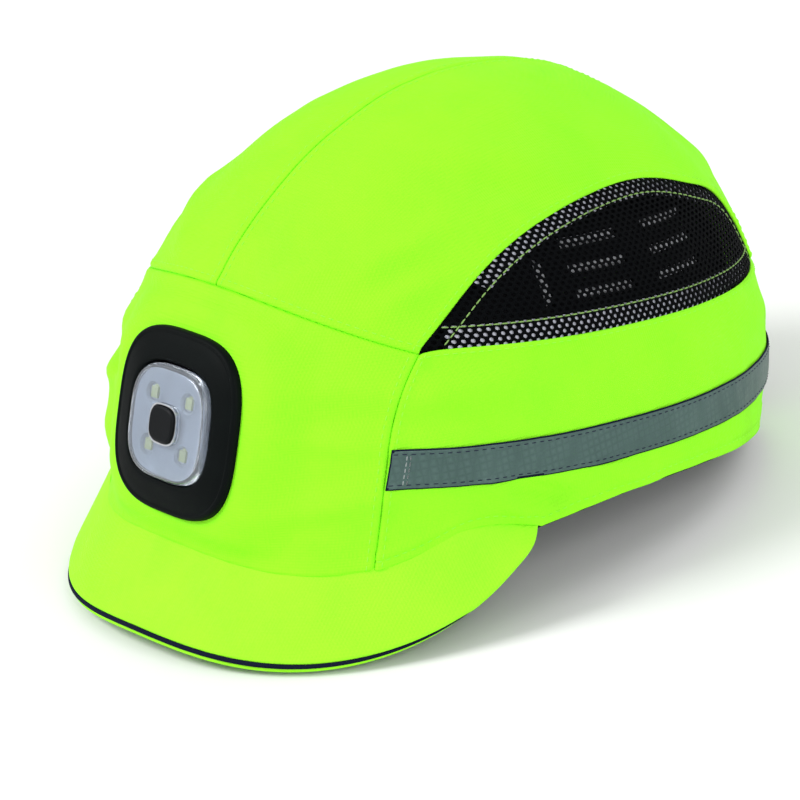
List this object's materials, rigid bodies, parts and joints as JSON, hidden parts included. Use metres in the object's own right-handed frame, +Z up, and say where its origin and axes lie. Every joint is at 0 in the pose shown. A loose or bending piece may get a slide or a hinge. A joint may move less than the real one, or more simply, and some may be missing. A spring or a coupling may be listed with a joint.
{
  "type": "bump cap",
  "caption": "Fabric bump cap with short arched brim, mesh side vents, reflective tape, inner shell and a square clip-in front lamp.",
  "frame": {"origin": "on the surface the cap rests on, below the middle of its outline", "axes": "+Z up with the cap standing on its brim and rear hem, -Y towards the brim, +X to the wearer's left"},
  "size_m": [0.1908, 0.2608, 0.1497],
  "materials": {
    "hi_vis_cloth": "woven, matt",
    "mesh": "open knit mesh",
    "reflective": "retroreflective",
    "dark_trim": "woven",
    "lime_trim": "folded binding",
    "liner": "brushed knit",
    "webbing": "woven tape",
    "hook_and_loop": "napped",
    "foam": "closed-cell foam",
    "shell_plastic": "moulded",
    "board_plastic": "moulded",
    "bezel_rubber": "satin",
    "lamp_plastic": "moulded",
    "lens_clear": "clear moulded",
    "reflector_white": "gloss",
    "collar_metal": "bright",
    "button_black": "gloss",
    "circuit": "white solder mask",
    "led": "phosphor",
    "switch_metal": "plated",
    "cell_wrap": "wrapped pouch",
    "screw_steel": "zinc"
  },
  "bodies": {
    "cover": {"front_band": "hi_vis_cloth", "crown_panel_left": "hi_vis_cloth", "crown_panel_right": "hi_vis_cloth", "side_panel_left": "hi_vis_cloth", "side_panel_right": "hi_vis_cloth", "brim_upper_cover": "hi_vis_cloth", "brim_lower_cover": "hi_vis_cloth", "mesh_panel_left": "mesh", "mesh_panel_right": "mesh", "reflective_tape_left": "reflective", "reflective_tape_right": "reflective", "brim_piping": "dark_trim", "arch_binding": "lime_trim", "sweatband": "liner", "strap_right": "webbing", "strap_loop_patch": "hook_and_loop", "foam_pad_front": "foam", "foam_pad_top": "foam", "foam_pad_rear": "foam", "foam_pad_left": "foam", "foam_pad_right": "foam", "bump_shell": "shell_plastic", "brim_board": "board_plastic", "lamp_bezel": "bezel_rubber", "lamp_retaining_ring": "lamp_plastic"},
    "lamp": {"lamp_housing": "lamp_plastic", "lamp_back": "lamp_plastic", "lamp_seal": "bezel_rubber", "lamp_lens": "lens_clear", "lamp_reflector": "reflector_white", "circuit_board": "circuit", "led_chips": "led", "button_collar": "collar_metal", "push_switch": "switch_metal", "battery": "cell_wrap", "charging_socket": "switch_metal", "lamp_screws": "screw_steel"},
    "button": {"lamp_button": "button_black", "switch_plunger": "button_black"},
    "strap": {"strap_left": "webbing", "strap_hook_patch": "hook_and_loop"}
  },
  "joints": [
    {"name": "lamp_pull_out", "type": "slide", "parent": "cover", "child": "lamp", "axis": [0, -0.9455, 0.3256], "range_m": [0, 0.025]},
    {"name": "button_press", "type": "slide", "parent": "lamp", "child": "button", "axis": [0, 0.9455, -0.3256], "range_m": [0, 0.0008], "stiffness_N_per_m": 1500, "springref_m": -0.0006},
    {"name": "strap_adjust", "type": "hinge", "parent": "cover", "child": "strap", "pos_m": [0, 0.04015, 0.03476], "axis": [0, 0.1908, 0.9816], "range_deg": [-10, 10]}
  ]
}
